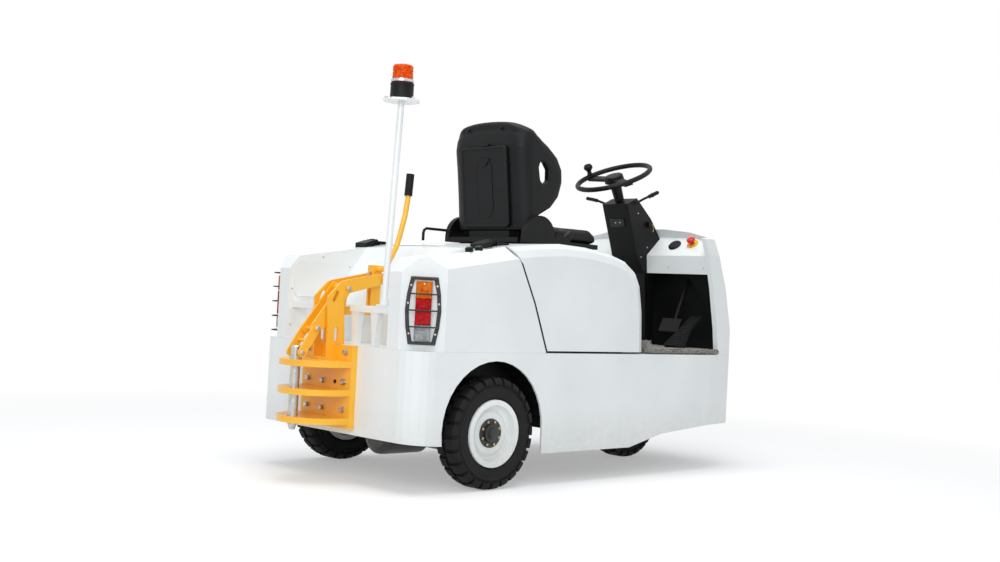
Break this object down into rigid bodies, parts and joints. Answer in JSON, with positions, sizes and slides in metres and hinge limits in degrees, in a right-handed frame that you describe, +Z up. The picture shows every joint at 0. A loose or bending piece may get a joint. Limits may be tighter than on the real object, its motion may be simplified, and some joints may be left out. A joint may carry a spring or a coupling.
{
  "type": "airport baggage tug",
  "caption": "Compact electric tow tractor for baggage carts, with a driver's seat over the battery, a low footwell and a rear pin hitch.",
  "frame": {"origin": "on the ground, under the middle of the overall length and width", "axes": "+X forwards, +Y to the driver's left, +Z up"},
  "size_m": [2.172, 0.98, 1.5393],
  "materials": {
    "white_paint": "smooth gloss paint",
    "yellow_paint": "satin orange-yellow paint",
    "chassis_paint": "matt primer",
    "black_paint": "satin black paint",
    "black_plastic": "fine grain",
    "seat_vinyl": "moulded vinyl",
    "tyre_rubber": "matt",
    "steel": "turned",
    "lamp_lens": "clear red",
    "beacon_lens": "clear orange",
    "headlamp_lens": "clear",
    "stop_red": "gloss",
    "carpet": "ribbed mat",
    "battery_case": "matt"
  },
  "bodies": {
    "chassis": {"lower_body": "white_paint", "chassis_frame": "chassis_paint", "battery_block": "battery_case", "arch_liner_left": "black_plastic", "arch_liner_right": "black_plastic", "rear_axle": "chassis_paint", "drive_motor": "black_paint", "rear_cowl": "white_paint", "deck_hinge_left": "black_plastic", "deck_hinge_right": "black_plastic", "front_cowl": "white_paint", "headlamp_left": "headlamp_lens", "headlamp_right": "headlamp_lens", "dash_console": "white_paint", "battery_gauge": "black_plastic", "emergency_stop": "stop_red", "footwell_liner": "black_plastic", "floor_mat": "carpet", "accelerator_pedal": "black_plastic", "brake_pedal": "black_plastic", "steering_column": "black_plastic", "lamp_guard_left": "black_paint", "lamp_guard_right": "black_paint", "tail_lamp_left": "lamp_lens", "tail_lamp_right": "lamp_lens", "beacon_mast": "white_paint", "beacon_base": "black_plastic", "beacon_lens": "beacon_lens", "recess_stand_left": "white_paint", "recess_stand_right": "white_paint", "tow_hitch": "yellow_paint", "hitch_bracket": "yellow_paint"},
    "rear_wheel_left": {"rear_tyre_left": "tyre_rubber", "rear_rim_left": "white_paint", "rear_hub_left": "black_paint"},
    "rear_wheel_right": {"rear_tyre_right": "tyre_rubber", "rear_rim_right": "white_paint", "rear_hub_right": "black_paint"},
    "front_fork": {"steering_fork": "black_paint"},
    "front_wheel": {"front_tyre": "tyre_rubber", "front_rim": "white_paint"},
    "steering_wheel": {"steering_wheel": "black_plastic", "spinner_knob": "black_plastic"},
    "hood": {"battery_hood": "white_paint", "hood_hinge_left": "black_plastic", "hood_hinge_right": "black_plastic", "seat_pan": "black_plastic", "seat_cushion": "seat_vinyl", "seat_back": "seat_vinyl", "backrest_cushion": "seat_vinyl", "seat_handle": "black_plastic"},
    "document_lid": {"document_lid": "seat_vinyl"},
    "hand_lever": {"hand_lever": "yellow_paint", "lever_grip": "black_plastic"},
    "lift_crank": {"lift_crank": "yellow_paint"},
    "pull_rod": {"pull_rod": "yellow_paint"},
    "draw_link": {"draw_link": "yellow_paint"},
    "tow_pin": {"tow_pin": "steel"}
  },
  "joints": [
    {"name": "rear_wheel_left_roll", "type": "hinge", "parent": "chassis", "child": "rear_wheel_left", "pos_m": [-0.489, 0.4375, 0.2075], "axis": [0, 1, 0], "continuous": true},
    {"name": "rear_wheel_right_roll", "type": "hinge", "parent": "chassis", "child": "rear_wheel_right", "pos_m": [-0.489, -0.4375, 0.2075], "axis": [0, 1, 0], "continuous": true},
    {"name": "steer_swivel", "type": "hinge", "parent": "chassis", "child": "front_fork", "pos_m": [0.815, 0, 0.452], "axis": [0, 0, 1], "range_deg": [-80, 80]},
    {"name": "front_wheel_roll", "type": "hinge", "parent": "front_fork", "child": "front_wheel", "pos_m": [0.815, 0, 0.2075], "axis": [0, 1, 0], "continuous": true},
    {"name": "steering_wheel_turn", "type": "hinge", "parent": "chassis", "child": "steering_wheel", "pos_m": [0.666, 0, 1.29], "axis": [-0.4305, 0, 0.9026], "range_deg": [-720, 720]},
    {"name": "hood_open", "type": "hinge", "parent": "chassis", "child": "hood", "pos_m": [-0.444, 0, 0.915], "axis": [0, -1, 0], "range_deg": [0, 45]},
    {"name": "document_lid_open", "type": "hinge", "parent": "hood", "child": "document_lid", "pos_m": [-0.11668, 0, 0.998], "axis": [0, -1, 0], "range_deg": [0, 30]},
    {"name": "hand_lever_pull", "type": "hinge", "parent": "chassis", "child": "hand_lever", "pos_m": [-0.7, 0, 0.755], "axis": [0, 1, 0], "range_deg": [0, 30]},
    {"name": "lift_crank_turn", "type": "hinge", "parent": "chassis", "child": "lift_crank", "pos_m": [-0.863, 0, 0.714], "axis": [0, 1, 0], "range_deg": [0, 49.16]},
    {"name": "pull_rod_pivot", "type": "hinge", "parent": "hand_lever", "child": "pull_rod", "pos_m": [-0.706, 0, 0.632], "axis": [0, 1, 0], "range_deg": [-22.87, 0]},
    {"name": "draw_link_pivot", "type": "hinge", "parent": "lift_crank", "child": "draw_link", "pos_m": [-0.986, 0, 0.56], "axis": [0, 1, 0], "range_deg": [-90.73, 0]},
    {"name": "tow_pin_lift", "type": "slide", "parent": "chassis", "child": "tow_pin", "axis": [0, 0, 1], "range_m": [0, 0.1298]}
  ],
  "couplings": [
    {"joint": "steering_wheel_turn", "follows": "steer_swivel", "ratio": 9},
    {"joint": "lift_crank_turn", "follows": "hand_lever_pull", "ratio": 1.6352},
    {"joint": "pull_rod_pivot", "follows": "hand_lever_pull", "ratio": -0.75905},
    {"joint": "draw_link_pivot", "follows": "hand_lever_pull", "ratio": -3.0212},
    {"joint": "tow_pin_lift", "follows": "hand_lever_pull", "m_per_rad": 0.24687}
  ]
}
